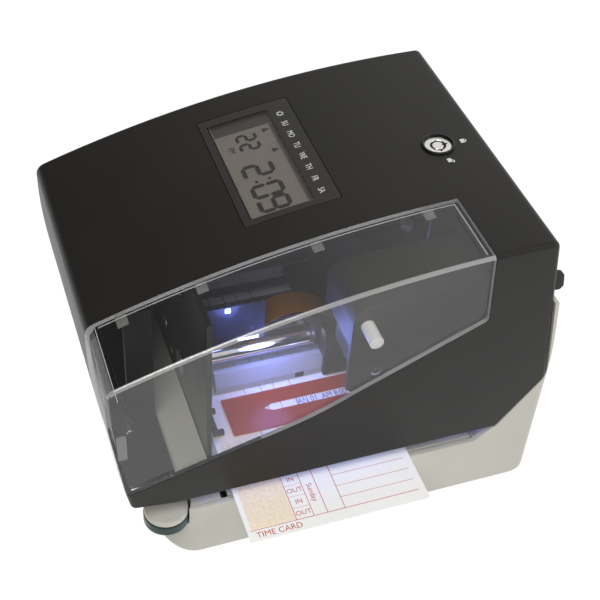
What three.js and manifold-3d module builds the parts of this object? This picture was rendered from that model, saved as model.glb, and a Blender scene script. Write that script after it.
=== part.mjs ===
// Punch time clock: a desk-top clock that prints the time on a card pushed into its front slot.
// Millimetres, +Z up. -Y is the card-slot side, -X the low side that the display is read from.
// Pieces are laid out in a working frame: x = 0 at the cover's lower left front corner,
// y = 0 on the cover's front face, z = 0 under the base. The group moves them so that the
// origin is under the middle of the whole clock, on the surface that its feet stand on.

import * as THREE from "three";
import { mergeVertices } from "three/addons/utils/BufferGeometryUtils.js";
import Module from "manifold-3d";

const wasm = await Module();
wasm.setup();

// ---------- driving dimensions ----------
const DEPTH = 151.2;             // cover and base, front to back
const GAP = 0.3;                 // between pieces that touch
const ARC_STEPS = 12;            // steps per curve of an outline
const GRID = 1000;               // vertices of cut pieces per millimetre

const FOOT = { radius: 8, height: 3, sunk: 0.7 };
const FOOT_SPOTS = [[46, 16], [178, 16], [46, 135], [178, 135]];

const BASE = {
  left: 11.4, right: 199.2, ledge: 32.7, wall: 2.5, frontCorner: 20, rearCorner: 4.5,
  leftBottom: 20, rightBottom: 9, blockRight: 41.5, rearTop: 118, rearWall: 1.8,
  cheekTop: 70.3, cheekLeft: 160,
};
const CORNER = { x: 17, y: 7, pocket: 11.1, floor: 22, cap: 10.7, capLow: 27.5, capTop: 31, lens: 10.4 };

const COVER = {
  wall: 2.2, topRadius: 560, topCentreX: 186, topHeight: 154.5, lowEdge: 41,
  leftTopX: -7.8, leftTopZ: 120, leftLowX: 0.2, leftLowZ: 44, bulgeX: -7.9, bulgeZ: 84,
  rightTopX: 186.1, rightTopZ: 154.1, rightLowX: 197.1, rightLowZ: 70.6, cutX: 176, cornerRound: 5,
};
const TOP_CENTRE_Z = COVER.topHeight - COVER.topRadius;

const WINDOW = { back: 39.3, rightTopX: 156.6, rightLowX: 159.6, rightLowZ: 116.2 };
const DISPLAY = { left: 67, right: 111, front: 57.5, back: 134.8, thick: 1.4 };
const LCD = { left: 71.3, right: 100.5, front: 63.3, back: 131.4, thick: 2.4, below: 0.5 };
const LCD_BOARD = { half: 23, front: 55, back: 137, thick: 1.6 };
const LOCK = {
  x: 163.3, y: 76, ring: 7.8, ringTop: 0.9, barrel: 6.4, bore: 5.1, plug: 4.8, face: -0.4,
  length: 18, camLength: 13, camThick: 1.8, camGap: 0.8,
};
const LOCK_NUT = { radius: 9.5, low: -6.5, top: -3 };
const KEEPER = { left: 157, right: 170, thick: 2.5, top: 136 };

const HINGE = {
  x: 9, z: 46, rod: 1.5, hole: 1.8, lugs: [[50, 55], [125, 130]], hooks: [[44.5, 49.5], [119.5, 124.5]],
};
const HINGE_STRIP = { left: 3, lugLeft: 12.2, right: 24.8, front: 22, low: 33, top: 36 };
const HINGE_POST = { front: 57, back: 60, top: 105 };
const CARD = { left: 46.9, width: 85.7, front: -25.2, length: 167, low: 33.5, thick: 0.4 };
const PLATEN = {
  left: 44.7, right: 134, front: 3, back: 118, low: 31.2, top: 33.1, sillRight: 166, sillBack: 26,
};
const FILM = { low: 34.3, thick: 0.4 };

const CHASSIS = {
  left: 42, right: 134.4, thick: 2.3, front: 28, back: 132, low: 3, top: 95, notchBack: 64, notchTop: 49,
  tallBack: 66, tallTop: 118,
};
const AXLE_LEFT = CHASSIS.left - 0.3;
const AXLE_RIGHT = 138;
const SHAFT = { y: 76, z: 47, radius: 6 };
const RAIL = { y: 104, z: 47, radius: 3 };
const FEED = { y: 92, z: 27, shaft: 3, roller: 6 };
const PINCH = { y: 92, z: 39.4, shaft: 2, roller: 5 };
const ROLLER_SPANS = [[60, 72], [108, 120]];
const GEAR = { teeth: 36, pinionTeeth: 12, module: 0.6, left: 139, right: 143 };
const PINION_Z = FEED.z - GEAR.module * (GEAR.teeth + GEAR.pinionTeeth) / 2 - 0.15;
const BELT = { z: 44, left: 52, right: 126, front: 112, back: 117, pulley: 5, thick: 1 };
const CARRIAGE = { left: 108, right: 130 };
const IDLER_PLATE = { left: 121, right: 134, thick: 2, low: 34, top: 50 };
const FEED_MOTOR = { radius: 7.2, length: 22, shaft: 11, left: 111.8 };
const BELT_MOTOR = { radius: 7, length: 17, shaft: 8, back: 136 };
const CASSETTE = {
  left: 106.2, lowLeft: 113, right: 172, front: 22, back: 55, low: 58, top: 117, wall: 2, round: 10,
  stepLow: 84, stepTop: 92, chamfer: 7,
};
const KNOB = { x: 113, z: 105, radius: 3.25, tip: 10.5, shaft: 1.5, stemBack: 48 };
const RIBBON_ROLLER = { radius: 4.2, front: 27, back: 46 };
const LAMP_BOARD = { left: 45, right: 79, front: 60, thick: 1.6, low: 70, top: 94 };
const FLEX = { front: 64, back: 78, half: 0.25 };
const PANEL = { left: 146, right: 184, front: 56, back: 128, low: 3, top: 100, thick: 2 };
const BUTTON = { radius: 3.2, x: 158, ys: [84, 94, 104, 114], low: 96, top: 103 };
const MAIN_BOARD = { left: 48, right: 108, front: 8, back: 80, low: 7, top: 8.6 };
const CHIPS = [[56, 72, 20, 36, 11], [80, 100, 20, 28, 11.5], [84, 96, 44, 56, 16], [52, 60, 60, 74, 15]];
const BATTERY = { left: 152, right: 178, front: 68, back: 118, low: 3, top: 21 };
const BUZZER = { x: 166, y: 40, radius: 8, low: 3, top: 10 };
const INLET = { y: 126, z: 14, hole: 4.5, left: 185, right: 196.3, half: 7, bore: 3.2, boreLeft: 188 };

// ---------- colours ----------
const finish = (color, roughness = 0.55, metalness = 0, opacity = 1) =>
  new THREE.MeshStandardMaterial({ color, roughness, metalness, opacity, transparent: opacity < 1 });
const BLACK_SHELL = finish(0x2b2826, 0.5);
const GREY_SHELL = finish(0xbab9ac, 0.5);
const BLACK_PART = finish(0x2e2c2b, 0.6);
const GREY_PART = finish(0x54524e, 0.6);
const CLEAR = finish(0xdfe3e6, 0.1, 0, 0.3);
const SMOKED = finish(0x3a3835, 0.15, 0, 0.8);
const LCD_GREY = finish(0x69655f, 0.2);
const RED_FILM = finish(0xb85a50, 0.3, 0, 0.7);
const TEAL = finish(0x2f4a49, 0.3);
const STEEL = finish(0xc8c8c8, 0.2, 1);
const ZINC = finish(0x9a9c9e, 0.4, 1);
const RUBBER = finish(0x1c1c1c, 0.9);
const NYLON = finish(0xe8e6df, 0.5);
const BOARD_GREEN = finish(0x2d6a3f, 0.6);
const PAPER = finish(0xf3efe6, 0.9);
const AMBER_FLEX = finish(0xa06a2c, 0.5);

// ---------- geometry helpers ----------
function outline(points) {
  const shape = new THREE.Shape();
  points.forEach(([a, b], i) => (i ? shape.lineTo(a, b) : shape.moveTo(a, b)));
  shape.closePath();
  return shape;
}

function circle(a, b, radius, hole = 0) {
  const shape = new THREE.Shape();
  shape.absarc(a, b, radius, 0, 2 * Math.PI);
  if (hole) punch(shape, a, b, hole);
  return shape;
}

function punch(shape, a, b, radius) {
  const hole = new THREE.Path();
  hole.absarc(a, b, radius, 0, 2 * Math.PI, true);
  shape.holes.push(hole);
  return shape;
}

function extrude(shape, depth) {
  return new THREE.ExtrudeGeometry(shape, { depth, bevelEnabled: false, curveSegments: ARC_STEPS });
}

// The outline is drawn in (y, z), (x, z) or (x, y) and runs between two places on the third axis.
function alongX(shape, x0, x1) {
  const basis = new THREE.Matrix4().set(0, 0, 1, x0, 1, 0, 0, 0, 0, 1, 0, 0, 0, 0, 0, 1);
  return extrude(shape, x1 - x0).applyMatrix4(basis);
}

function alongY(shape, y0, y1) {
  const basis = new THREE.Matrix4().set(1, 0, 0, 0, 0, 0, -1, y1, 0, 1, 0, 0, 0, 0, 0, 1);
  return extrude(shape, y1 - y0).applyMatrix4(basis);
}

function alongZ(shape, z0, z1) {
  return extrude(shape, z1 - z0).translate(0, 0, z0);
}

function block(x0, x1, y0, y1, z0, z1) {
  const geometry = new THREE.BoxGeometry(x1 - x0, y1 - y0, z1 - z0);
  return geometry.translate((x0 + x1) / 2, (y0 + y1) / 2, (z0 + z1) / 2);
}

// Vertices are rounded to a fine grid, so that faces meant to be in one plane are exactly so.
function toSolid(geometry) {
  const bare = geometry.clone();
  bare.deleteAttribute("normal");
  bare.deleteAttribute("uv");
  const merged = mergeVertices(bare, 1e-4);
  const snapped = Array.from(merged.attributes.position.array, (v) => Math.round(v * GRID) / GRID);
  return new wasm.Manifold(new wasm.Mesh({
    numProp: 3,
    vertProperties: new Float32Array(snapped),
    triVerts: new Uint32Array(merged.index.array),
  }));
}

function toGeometry(solid) {
  const mesh = solid.getMesh();
  const geometry = new THREE.BufferGeometry();
  geometry.setAttribute("position", new THREE.BufferAttribute(mesh.vertProperties, 3));
  geometry.setIndex(new THREE.BufferAttribute(mesh.triVerts, 1));
  geometry.computeVertexNormals();
  return geometry;
}

const join = (first, ...rest) => rest.reduce((sum, g) => sum.add(toSolid(g)), toSolid(first));
const cut = (solid, ...tools) => tools.reduce((left, g) => left.subtract(toSolid(g)), solid);

const topZ = (x) => TOP_CENTRE_Z + Math.sqrt(COVER.topRadius ** 2 - (x - COVER.topCentreX) ** 2);
const topTilt = (x) => Math.asin((COVER.topCentreX - x) / COVER.topRadius);

const clock = new THREE.Group();

function place(name, geometry, material, parent = clock) {
  const mesh = new THREE.Mesh(geometry, material);
  mesh.name = name;
  parent.add(mesh);
  return mesh;
}

// ---------- base ----------
function baseSection() {
  const shape = new THREE.Shape();
  const { left, right, leftBottom: rl, rightBottom: rr } = BASE;
  shape.moveTo(left + rl, 0);
  shape.lineTo(right - rr, 0);
  shape.absarc(right - rr, rr, rr, -Math.PI / 2, 0);
  shape.lineTo(right, BASE.ledge);
  shape.lineTo(left, BASE.ledge);
  shape.lineTo(left, rl);
  shape.absarc(left + rl, rl, rl, Math.PI, 1.5 * Math.PI);
  return shape;
}

function basePlan() {
  const shape = new THREE.Shape();
  const { left, right, frontCorner: rf, rearCorner: rc } = BASE;
  shape.moveTo(left + rf, 0);
  shape.lineTo(right - rc, 0);
  shape.absarc(right - rc, rc, rc, -Math.PI / 2, 0);
  shape.lineTo(right, DEPTH - rc);
  shape.absarc(right - rc, DEPTH - rc, rc, 0, Math.PI / 2);
  shape.lineTo(left + rc, DEPTH);
  shape.absarc(left + rc, DEPTH - rc, rc, Math.PI / 2, Math.PI);
  shape.lineTo(left, rf);
  shape.absarc(left + rf, rf, rf, Math.PI, 1.5 * Math.PI);
  return shape;
}

function rearWallSection() {
  const lean = (COVER.rightLowX - COVER.rightTopX) / (COVER.rightTopZ - COVER.rightLowZ);
  const innerLow = COVER.rightLowX + 2 * GAP;
  const innerTop = innerLow - lean * (BASE.rearTop - COVER.rightLowZ);
  return outline([
    [BASE.right - BASE.wall, BASE.ledge - 2], [BASE.right, BASE.ledge - 2], [BASE.right, COVER.rightLowZ],
    [innerTop + BASE.rearWall, BASE.rearTop], [innerTop, BASE.rearTop],
    [innerLow, COVER.rightLowZ], [BASE.right - BASE.wall, BASE.ledge + 6],
  ]);
}

// The end wall's cheek rises beside the cover's slanted cut; its sill runs left from there.
function cheekSection(sillLeft, sillTop) {
  const lowEdge = COVER.lowEdge - 3 * GAP;
  const slope = lowEdge - BASE.ledge;
  return outline([
    [sillLeft, BASE.ledge - 2], [BASE.right, BASE.ledge - 2], [BASE.right, BASE.cheekTop],
    [COVER.rightLowX + 0.4, BASE.cheekTop], [COVER.cutX + 0.4, lowEdge], [COVER.cutX - 1, lowEdge - 0.2],
    [COVER.cutX - 2.4 - slope + sillTop - BASE.ledge, sillTop], [sillLeft, sillTop],
  ]);
}

function makeBase() {
  const { left, right, wall, ledge, blockRight } = BASE;
  const cornerCut = alongZ(circle(CORNER.x, CORNER.y, CORNER.pocket), CORNER.floor, ledge + 1);
  const pocket = FOOT.radius + GAP;
  const footPockets = FOOT_SPOTS.map(([x, y]) => alongZ(circle(x, y, pocket), -1, FOOT.sunk + GAP));
  const plan = toSolid(alongZ(basePlan(), -1, BASE.rearTop + 1));
  const full = join(
    alongY(baseSection(), 0, DEPTH),
    alongY(rearWallSection(), 0, DEPTH),
    alongY(cheekSection(BASE.cheekLeft, ledge), 0, wall),
    alongY(cheekSection(left + 9, COVER.lowEdge - GAP), DEPTH - wall, DEPTH),
  ).intersect(plan);
  const body = cut(
    full,
    block(blockRight, right - wall, wall, DEPTH - wall, wall, ledge + 1),
    block(left + 8, blockRight - wall, 16, DEPTH - wall - 6, -1, 13),
    block(left + wall, blockRight - wall, 24, DEPTH - wall - 6, 12, ledge - wall),
  );
  const inletHole = alongX(circle(INLET.y, INLET.z, INLET.hole), right - 5, right + 5);
  return cut(body, cornerCut, inletHole, ...footPockets);
}

place("base_tray", toGeometry(makeBase()), GREY_SHELL);
FOOT_SPOTS.forEach(([x, y], i) => {
  const low = -FOOT.height;
  place(`foot_${i + 1}`, alongZ(circle(x, y, FOOT.radius), low, FOOT.sunk), RUBBER);
});
place(
  "corner_lens",
  alongZ(circle(CORNER.x, CORNER.y, CORNER.lens), CORNER.floor + GAP, CORNER.capLow - GAP),
  TEAL,
);
place(
  "corner_cap",
  alongZ(circle(CORNER.x, CORNER.y, CORNER.cap), CORNER.capLow, CORNER.capTop),
  GREY_SHELL,
);

// ---------- hinge ----------
function lugSection() {
  const { x, z, hole } = HINGE;
  const { lugLeft, low } = HINGE_STRIP;
  const shape = outline([
    [lugLeft, low], [lugLeft + 10, low], [x + 4, z], [x + 3, z + 3], [x, z + 4], [x - 3, z + 3], [x - 4, z],
    [x - 3, z - 3], [x + 0.6, z - 4], [x + 0.6, z - 7], [lugLeft, low + 2],
  ]);
  return punch(shape, x, z, hole);
}

function makeHingeBracket() {
  const { left, lugLeft, right, front, low, top } = HINGE_STRIP;
  const strip = block(left, right, front, DEPTH - 5, low, top);
  const post = block(lugLeft, right, HINGE_POST.front, HINGE_POST.back, low + 1, HINGE_POST.top);
  return join(strip, post, ...HINGE.lugs.map(([y0, y1]) => alongY(lugSection(), y0, y1)));
}

place("hinge_bracket", toGeometry(makeHingeBracket()), BLACK_PART);
place("hinge_rod", alongY(circle(HINGE.x, HINGE.z, HINGE.rod), 40, 138), STEEL);

// ---------- cover shell ----------
function coverOutline() {
  const { leftTopX, leftTopZ, leftLowX, leftLowZ, topRadius, topCentreX, cornerRound: r } = COVER;
  const startX = leftTopX + r;
  const endX = COVER.rightTopX - 3;
  const angle = (x) => Math.acos((x - topCentreX) / topRadius);
  const shape = new THREE.Shape();
  shape.moveTo(leftLowX, leftLowZ);
  shape.quadraticCurveTo(COVER.bulgeX, COVER.bulgeZ, leftTopX + 0.5, leftTopZ - r);
  shape.quadraticCurveTo(leftTopX, leftTopZ, startX, topZ(startX));
  shape.absarc(topCentreX, TOP_CENTRE_Z, topRadius, angle(startX), angle(endX), true);
  shape.quadraticCurveTo(COVER.rightTopX, COVER.topHeight, COVER.rightTopX + 0.4, COVER.topHeight - 3);
  shape.lineTo(COVER.rightLowX, COVER.rightLowZ);
  shape.lineTo(COVER.cutX, COVER.lowEdge);
  shape.lineTo(20, COVER.lowEdge);
  shape.closePath();
  return shape;
}

function cavityOutline(wall) {
  const { leftTopX, leftTopZ, leftLowX, topRadius, topCentreX, rightTopX, rightLowX } = COVER;
  const startX = leftTopX + wall + 3;
  const endX = rightTopX - wall - 1;
  const angle = (x) => Math.acos((x - topCentreX) / (topRadius - wall));
  const shape = new THREE.Shape();
  shape.moveTo(leftLowX + wall + 1, 20);
  shape.lineTo(leftLowX + wall, 44);
  shape.quadraticCurveTo(COVER.bulgeX + wall, COVER.bulgeZ, leftTopX + wall + 0.4, leftTopZ - 5);
  shape.absarc(topCentreX, TOP_CENTRE_Z, topRadius - wall, angle(startX), angle(endX), true);
  shape.lineTo(rightTopX + 0.5 - wall, COVER.topHeight - 3 - wall);
  shape.lineTo(rightLowX - wall, COVER.rightLowZ);
  shape.lineTo(rightLowX - wall, 20);
  shape.closePath();
  return shape;
}

// The clear window is the part of the shell above an S-shaped line across the front face.
function windowRegion(inset) {
  const { rightTopX, rightLowX, rightLowZ } = WINDOW;
  const shape = new THREE.Shape();
  shape.moveTo(-20, 52 + inset);
  shape.lineTo(-0.4, 53.6 + inset);
  shape.lineTo(58.7, 71.4 + inset);
  shape.quadraticCurveTo(84, 78 + inset, 99.4, 87 + inset);
  shape.lineTo(rightLowX - inset, rightLowZ + inset);
  shape.lineTo(rightTopX - inset, 154);
  shape.lineTo(rightTopX - inset, 170);
  shape.lineTo(-20, 170);
  shape.closePath();
  return alongY(shape, -5, WINDOW.back - inset);
}

function hookSection() {
  const { x, z, hole } = HINGE;
  const shape = outline([
    [-1.2, 62], [0.9, 44.8], [5, z - 4], [x, z - 4.4], [x + 4, z - 2], [x + 4.4, z + 1], [x + 1, z + 6],
    [4, 60],
  ]);
  return punch(shape, x, z, hole);
}

const fullCover = toSolid(alongY(coverOutline(), 0, DEPTH));
const shellOf = (wall) => cut(fullCover, alongY(cavityOutline(wall), COVER.wall, DEPTH - COVER.wall));
const shell = shellOf(COVER.wall);
const displayHole = (inset) => block(
  DISPLAY.left + inset, DISPLAY.right - inset, DISPLAY.front + inset, DISPLAY.back - inset, 130, 170,
);

function makeCover() {
  const tab = outline([[187, 120], [195, 119.5], [196.5, 122], [195, 133], [186.6, 135]]);
  const ring = alongZ(circle(LOCK.x, LOCK.y, LOCK.barrel + 0.8), 140, 160);
  const lift = toSolid(alongY(tab, 3, 8));
  const hooks = HINGE.hooks.map(([y0, y1]) => toSolid(alongY(hookSection(), y0, y1)));
  const body = hooks.reduce((sum, hook) => sum.add(hook), shell.add(lift));
  return cut(body, windowRegion(0), displayHole(0), ring);
}

place("top_cover", toGeometry(makeCover()), BLACK_SHELL);
place("print_window", toGeometry(shell.intersect(toSolid(windowRegion(GAP)))), CLEAR);
place("display_lens", toGeometry(shellOf(DISPLAY.thick).intersect(toSolid(displayHole(GAP)))), SMOKED);

// ---------- display under the lens ----------
const display = new THREE.Group();
const displayX = (DISPLAY.left + DISPLAY.right) / 2;
display.position.set(displayX, 0, topZ(displayX));
display.rotation.y = -topTilt(displayX);
clock.add(display);
const lcdTop = -DISPLAY.thick - LCD.below;
place(
  "lcd_glass",
  block(LCD.left - displayX, LCD.right - displayX, LCD.front, LCD.back, lcdTop - LCD.thick, lcdTop),
  LCD_GREY, display,
);
const boardTop = lcdTop - LCD.thick - GAP;
const { half: boardHalf, front: boardFront, back: boardBack, thick: boardThick } = LCD_BOARD;
place(
  "lcd_board",
  block(-boardHalf, boardHalf, boardFront, boardBack, boardTop - boardThick, boardTop),
  BOARD_GREEN, display,
);

// ---------- lock ----------
const lock = new THREE.Group();
lock.position.set(LOCK.x, LOCK.y, topZ(LOCK.x));
lock.rotation.y = -topTilt(LOCK.x);
clock.add(lock);

function turned(points) {
  const closed = points.map(([r, h]) => new THREE.Vector2(r, h));
  return new THREE.LatheGeometry(closed, 2 * ARC_STEPS).rotateX(Math.PI / 2);
}

place("lock_body", turned([
  [LOCK.bore, -LOCK.length], [LOCK.barrel, -LOCK.length], [LOCK.barrel, GAP], [LOCK.ring, GAP],
  [LOCK.ring, LOCK.ringTop - GAP], [LOCK.ring - 0.5, LOCK.ringTop], [LOCK.bore + 0.6, LOCK.ringTop],
  [LOCK.bore, 0], [LOCK.bore, -LOCK.length],
]), BLACK_PART, lock);
place(
  "lock_nut",
  alongZ(circle(0, 0, LOCK_NUT.radius, LOCK.barrel + GAP), LOCK_NUT.low, LOCK_NUT.top),
  ZINC, lock,
);

// The cam points to -Y when locked, with its end just short of the keeper.
const plugLow = -LOCK.length - 0.2;
const camTop = plugLow - GAP;
const camPlate = outline([[5, 5], [-5, 5], [-5, -4], [-3, -LOCK.camLength], [3, -LOCK.camLength], [5, -4]]);
place("lock_cylinder", alongZ(circle(0, 0, LOCK.plug), plugLow, LOCK.face), STEEL, lock);
place("lock_cam", alongZ(camPlate, camTop - LOCK.camThick, camTop), ZINC, lock);

// ---------- card path ----------
const cardTop = CARD.low + CARD.thick;
place(
  "time_card",
  block(CARD.left, CARD.left + CARD.width, CARD.front, CARD.front + CARD.length, CARD.low, cardTop),
  PAPER,
);

function makePlaten() {
  const { left, right, front, back, low, top, sillRight, sillBack } = PLATEN;
  const reach = FEED.roller + 2;
  const plate = block(left, right, front, back, low, top);
  const sill = block(left, sillRight, front, sillBack, low, top);
  const [holeFront, holeBack] = [FEED.y - reach, FEED.y + reach];
  const holes = ROLLER_SPANS.map(([x0, x1]) => block(x0 - 1, x1 + 1, holeFront, holeBack, low - 1, top + 1));
  return cut(join(plate, sill), ...holes);
}
place("card_platen", toGeometry(makePlaten()), GREY_SHELL);

// The film over the card has an arrow-shaped slot that points at the line to be printed.
function guideFilmPlan() {
  const shape = outline([[57, 33.8], [133.6, 33.8], [133.6, 56.9], [57, 56.9]]);
  shape.holes.push(outline([[75.5, 46.4], [80, 48.7], [126, 48.7], [126, 44], [80, 44]]));
  return shape;
}
place("red_card_guide", alongZ(guideFilmPlan(), FILM.low, FILM.low + FILM.thick), RED_FILM);
const clipPlan = outline([
  [47.5, 36], [53, 36], [53, 38.5], [50.3, 38.5], [50.3, 49.5], [52.5, 49.5], [52.5, 52], [47.5, 52],
]);
place("film_clip", alongZ(clipPlan, FILM.low, FILM.low + 2.3), BLACK_PART);
const maskSection = outline([[61, 34.4], [66, 34.4], [71, 40], [69.5, 42], [67.5, 45], [65, 45], [61, 38]]);
place("ribbon_mask", alongX(maskSection, 56, 133.8), NYLON);

// ---------- chassis plates with their bearing holes ----------
function chassisSection(frontCorner) {
  const { front, back, low, top } = CHASSIS;
  const shape = outline([[front, low], [back, low], [back, top], ...frontCorner]);
  punch(shape, SHAFT.y, SHAFT.z, SHAFT.radius + GAP);
  punch(shape, RAIL.y, RAIL.z, RAIL.radius + GAP);
  punch(shape, FEED.y, FEED.z, FEED.shaft + GAP);
  punch(shape, PINCH.y, PINCH.z, PINCH.shaft + GAP);
  return shape;
}

const { notchBack, notchTop, tallBack, tallTop } = CHASSIS;
const leftPlate = chassisSection([[tallBack, CHASSIS.top], [tallBack, tallTop], [CHASSIS.front, tallTop]]);
const rightPlate = chassisSection([
  [notchBack, CHASSIS.top], [notchBack, notchTop], [CHASSIS.front, notchTop],
]);
punch(rightPlate, FEED.y, PINION_Z, KNOB.shaft + GAP);
place("chassis_left", alongX(leftPlate, CHASSIS.left, CHASSIS.left + CHASSIS.thick), BLACK_PART);
place("chassis_right", alongX(rightPlate, CHASSIS.right, CHASSIS.right + CHASSIS.thick), ZINC);
place("carriage_shaft", alongX(circle(SHAFT.y, SHAFT.z, SHAFT.radius), AXLE_LEFT, AXLE_RIGHT), STEEL);
place("rear_rail", alongX(circle(RAIL.y, RAIL.z, RAIL.radius), AXLE_LEFT, AXLE_RIGHT), STEEL);

// ---------- card feed ----------
place("feed_shaft", alongX(circle(FEED.y, FEED.z, FEED.shaft), AXLE_LEFT, GEAR.right + 1), STEEL);
place("pinch_shaft", alongX(circle(PINCH.y, PINCH.z, PINCH.shaft), AXLE_LEFT, AXLE_RIGHT), STEEL);
["left", "right"].forEach((side, i) => {
  const [x0, x1] = ROLLER_SPANS[i];
  const feed = circle(FEED.y, FEED.z, FEED.roller, FEED.shaft + GAP);
  const pinch = circle(PINCH.y, PINCH.z, PINCH.roller, PINCH.shaft + GAP);
  place(`feed_roller_${side}`, alongX(feed, x0, x1), RUBBER);
  place(`pinch_roller_${side}`, alongX(pinch, x0, x1), NYLON);
});

// A tooth is a trapezium: four points per pitch. The two gears face each other tooth to space.
function gearSection(y, z, teeth, bore, phase) {
  const pitchRadius = GEAR.module * teeth / 2;
  const root = pitchRadius - 1.1 * GEAR.module;
  const tip = pitchRadius + 0.8 * GEAR.module;
  const pitch = 2 * Math.PI / teeth;
  const corners = [[root, -0.3], [tip, -0.12], [tip, 0.12], [root, 0.3]];
  const points = [];
  for (let tooth = 0; tooth < teeth; tooth += 1) {
    for (const [radius, share] of corners) {
      const angle = phase + (tooth + share) * pitch;
      points.push([y + radius * Math.cos(angle), z + radius * Math.sin(angle)]);
    }
  }
  return punch(outline(points), y, z, bore);
}

const down = -Math.PI / 2;
const halfPinionPitch = Math.PI / GEAR.pinionTeeth;
place(
  "feed_gear",
  alongX(gearSection(FEED.y, FEED.z, GEAR.teeth, FEED.shaft + GAP, down), GEAR.left, GEAR.right),
  NYLON,
);
place(
  "feed_pinion",
  alongX(
    gearSection(FEED.y, PINION_Z, GEAR.pinionTeeth, KNOB.shaft + GAP, -down + halfPinionPitch),
    GEAR.left, GEAR.right,
  ),
  ZINC,
);

function motor({ radius, length, shaft }) {
  return turned([
    [0, 0], [radius, 0], [radius, length], [KNOB.shaft, length], [KNOB.shaft, length + shaft],
    [0, length + shaft],
  ]);
}

const feedMotor = place("feed_motor", motor(FEED_MOTOR), ZINC);
feedMotor.rotation.y = Math.PI / 2;
feedMotor.position.set(FEED_MOTOR.left, FEED.y, PINION_Z);

// ---------- print carriage and its belt ----------
// The saddle rides on the shaft from above and reaches back over the rail and the belt.
function saddleSection() {
  const clear = SHAFT.radius + 0.4;
  const foot = 48.4;
  const start = Math.asin((foot - SHAFT.z) / clear);
  const shape = new THREE.Shape();
  shape.moveTo(67.6, foot);
  shape.lineTo(SHAFT.y - clear * Math.cos(start), foot);
  shape.absarc(SHAFT.y, SHAFT.z, clear, Math.PI - start, start, true);
  shape.lineTo(86, foot);
  shape.lineTo(86, 52);
  shape.lineTo(118, 52);
  shape.lineTo(118, 57);
  shape.lineTo(90, 57);
  shape.lineTo(86, 61);
  shape.lineTo(67.6, 61);
  shape.closePath();
  return shape;
}
place("carriage_block", alongX(saddleSection(), CARRIAGE.left, CARRIAGE.right), GREY_PART);
const headSection = outline([
  [57.6, 35.8], [60.5, 35.8], [60.5, 46.5], [67.3, 46.5], [67.3, 64], [59, 64], [57.6, 60],
]);
place("print_head", alongX(headSection, CARRIAGE.left + 2, CARRIAGE.right - 2), BLACK_PART);

function beltSection(inner, outer) {
  const loop = (path, radius) => {
    path.absarc(BELT.left, BELT.z, radius, Math.PI / 2, 1.5 * Math.PI);
    path.absarc(BELT.right, BELT.z, radius, -Math.PI / 2, Math.PI / 2);
    path.closePath();
    return path;
  };
  const shape = loop(new THREE.Shape(), outer);
  shape.holes.push(loop(new THREE.Path(), inner));
  return shape;
}
place(
  "carriage_belt",
  alongY(beltSection(BELT.pulley + GAP, BELT.pulley + GAP + BELT.thick), BELT.front, BELT.back),
  RUBBER,
);
const pulleyAt = (x) => alongY(circle(x, BELT.z, BELT.pulley, KNOB.shaft + GAP), BELT.front, BELT.back);
place("drive_pulley", pulleyAt(BELT.left), BLACK_PART);
place("idler_pulley", pulleyAt(BELT.right), BLACK_PART);
const carriageMotor = place("carriage_motor", motor(BELT_MOTOR), ZINC);
carriageMotor.rotation.x = Math.PI / 2;
carriageMotor.position.set(BELT.left, BELT_MOTOR.back, BELT.z);

function makeIdlerBracket() {
  const { left, right, thick, low, top } = IDLER_PLATE;
  const front = BELT.back + 2;
  const plate = block(left, right, front, front + thick, low, top);
  return join(plate, alongY(circle(BELT.right, BELT.z, KNOB.shaft), BELT.front - 1, front + 1));
}
place("idler_bracket", toGeometry(makeIdlerBracket()), ZINC);

// ---------- ribbon cassette and its knob ----------
function cassetteOutline(inset, lowLeft) {
  const { left, right, low, top, round, stepLow, stepTop, chamfer } = CASSETTE;
  const shape = new THREE.Shape();
  const r = round - inset;
  shape.moveTo(lowLeft + inset, low + inset + chamfer);
  shape.lineTo(lowLeft + inset + chamfer, low + inset);
  shape.lineTo(right - inset, low + inset);
  shape.lineTo(right - inset, top - inset);
  shape.lineTo(left + round, top - inset);
  shape.absarc(left + round, top - round, r, Math.PI / 2, Math.PI);
  shape.lineTo(left + inset, stepTop);
  shape.lineTo(lowLeft + inset, stepLow);
  shape.closePath();
  return shape;
}

function makeCassette() {
  const { left, lowLeft, front, back, wall } = CASSETTE;
  const facePlate = alongY(cassetteOutline(0, left), front, front + wall);
  const body = join(alongY(cassetteOutline(0, lowLeft), front, back), facePlate);
  const knobHole = alongY(circle(KNOB.x, KNOB.z, KNOB.shaft + GAP), front - 1, back);
  return cut(body, alongY(cassetteOutline(wall, lowLeft), front + wall, back + 1), knobHole);
}
place("ribbon_cassette", toGeometry(makeCassette()), GREY_PART);

function makeKnob() {
  const grip = alongY(circle(KNOB.x, KNOB.z, KNOB.radius), KNOB.tip, CASSETTE.front - GAP);
  const stem = alongY(circle(KNOB.x, KNOB.z, KNOB.shaft), CASSETTE.front - 1, KNOB.stemBack);
  return join(grip, stem);
}
place("ribbon_knob", toGeometry(makeKnob()), NYLON);
const rollerSection = circle(KNOB.x, KNOB.z, RIBBON_ROLLER.radius, KNOB.shaft + GAP);
place("ribbon_roller", alongY(rollerSection, RIBBON_ROLLER.front, RIBBON_ROLLER.back), RUBBER);

// ---------- lamp board and its flat cable ----------
function lampBoard() {
  const { left, right, front, thick, low, top } = LAMP_BOARD;
  return block(left, right, front, front + thick, low, top);
}
place("lamp_board", lampBoard(), BLACK_PART);

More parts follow.
